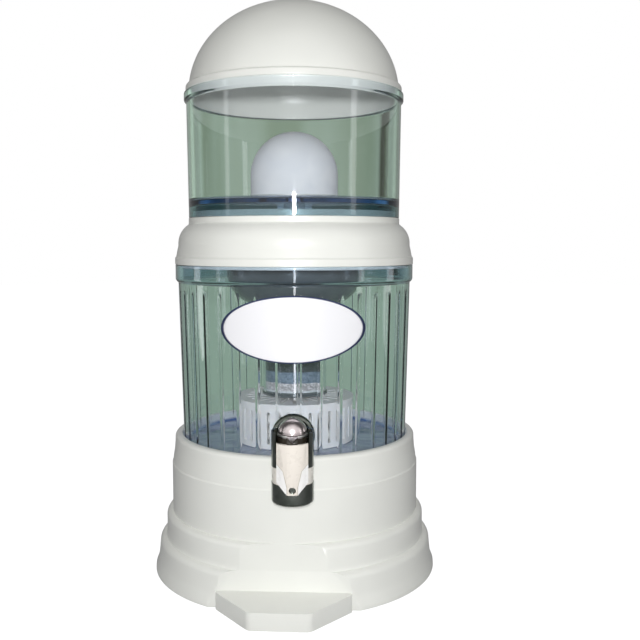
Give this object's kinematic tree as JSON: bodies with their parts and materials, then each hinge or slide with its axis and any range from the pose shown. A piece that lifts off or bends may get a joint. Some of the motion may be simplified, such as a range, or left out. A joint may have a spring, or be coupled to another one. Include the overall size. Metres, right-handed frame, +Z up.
{
  "type": "gravity water filter with tap",
  "caption": "Countertop gravity water filter: domed lid, clear upper tank with ceramic dome, collar, clear fluted lower tank with cartridge, stepped stand with drip ledge and lever tap.",
  "frame": {"origin": "on the vessel axis, at the level of the stand's foot, where the stand rests on the worktop", "axes": "+Z up along the vessel axis; the tap and the drip ledge look along -Y; +X is to the right of someone who faces the tap"},
  "size_m": [0.2846, 0.3159, 0.56],
  "materials": {
    "ivory_plastic": "moulded ABS, semi-gloss",
    "clear_plastic": "clear blue-tinted styrene moulding, glossy",
    "badge_vinyl": "plain white vinyl, bare",
    "silicone": "moulded silicone",
    "dark_chrome": "dark chrome plating on ABS",
    "cream_plastic": "moulded ABS",
    "steel": "stainless steel",
    "ceramic": "unglazed diatomite ceramic, fine pores",
    "white_plastic": "moulded polypropylene",
    "dark_plastic": "dark grey moulded plastic, glossy",
    "carbon_grains": "activated carbon granules",
    "mineral_sand": "grey-blue mineral sand",
    "silica_sand": "pale silica sand",
    "felt": "white felt",
    "basket_plastic": "translucent white polypropylene",
    "stone": "tumbled mineral stones"
  },
  "bodies": {
    "stand_assembly": {"stand": "ivory_plastic"},
    "tank_assembly": {"lower_tank": "clear_plastic", "badge": "badge_vinyl", "tap_outer_washer": "silicone", "tap_inner_washer": "silicone", "tap_nut": "cream_plastic", "tap_flange": "dark_chrome", "tap_body": "cream_plastic", "tap_cover_lower": "dark_chrome", "tap_cover_upper": "dark_chrome", "tap_bonnet": "dark_plastic", "stem_seal": "silicone", "mineral_basket": "basket_plastic", "basket_lid": "basket_plastic", "mineral_stones": "stone"},
    "valve_assembly": {"valve_stem": "steel", "valve_seal": "silicone", "valve_spring": "steel"},
    "lever_assembly": {"lever_head": "dark_chrome", "lever_paddle": "cream_plastic", "lever_pin": "steel"},
    "collar_assembly": {"collar": "ivory_plastic"},
    "upper_assembly": {"upper_tank": "clear_plastic", "ceramic_dome": "ceramic", "dome_base": "white_plastic", "dome_washer": "silicone", "wing_nut": "white_plastic", "cartridge_cap": "dark_plastic", "cartridge_bowl": "dark_plastic", "cartridge_tube": "clear_plastic", "carbon": "carbon_grains", "mineral_sand": "mineral_sand", "silica_sand": "silica_sand", "felt_pads": "felt", "cartridge_foot": "dark_plastic"},
    "lid_assembly": {"lid": "ivory_plastic"}
  },
  "joints": [
    {"name": "tank_lift", "type": "slide", "parent": "stand_assembly", "child": "tank_assembly", "axis": [0, 0, 1], "range_m": [0, 0.05]},
    {"name": "stem_lift", "type": "slide", "parent": "tank_assembly", "child": "valve_assembly", "axis": [0, 0, 1], "range_m": [0, 0.004], "deforming": ["valve_spring"]},
    {"name": "lever_swing", "type": "hinge", "parent": "valve_assembly", "child": "lever_assembly", "pos_m": [0, -0.15192, 0.1713], "axis": [-1, 0, 0], "range_deg": [0, 80]},
    {"name": "collar_lift", "type": "slide", "parent": "tank_assembly", "child": "collar_assembly", "axis": [0, 0, 1], "range_m": [0, 0.05]},
    {"name": "upper_lift", "type": "slide", "parent": "collar_assembly", "child": "upper_assembly", "axis": [0, 0, 1], "range_m": [0, 0.18]},
    {"name": "lid_lift", "type": "slide", "parent": "upper_assembly", "child": "lid_assembly", "axis": [0, 0, 1], "range_m": [0, 0.1]}
  ],
  "couplings": [
    {"joint": "stem_lift", "follows": "lever_swing", "m_per_rad": 0.0028648}
  ]
}
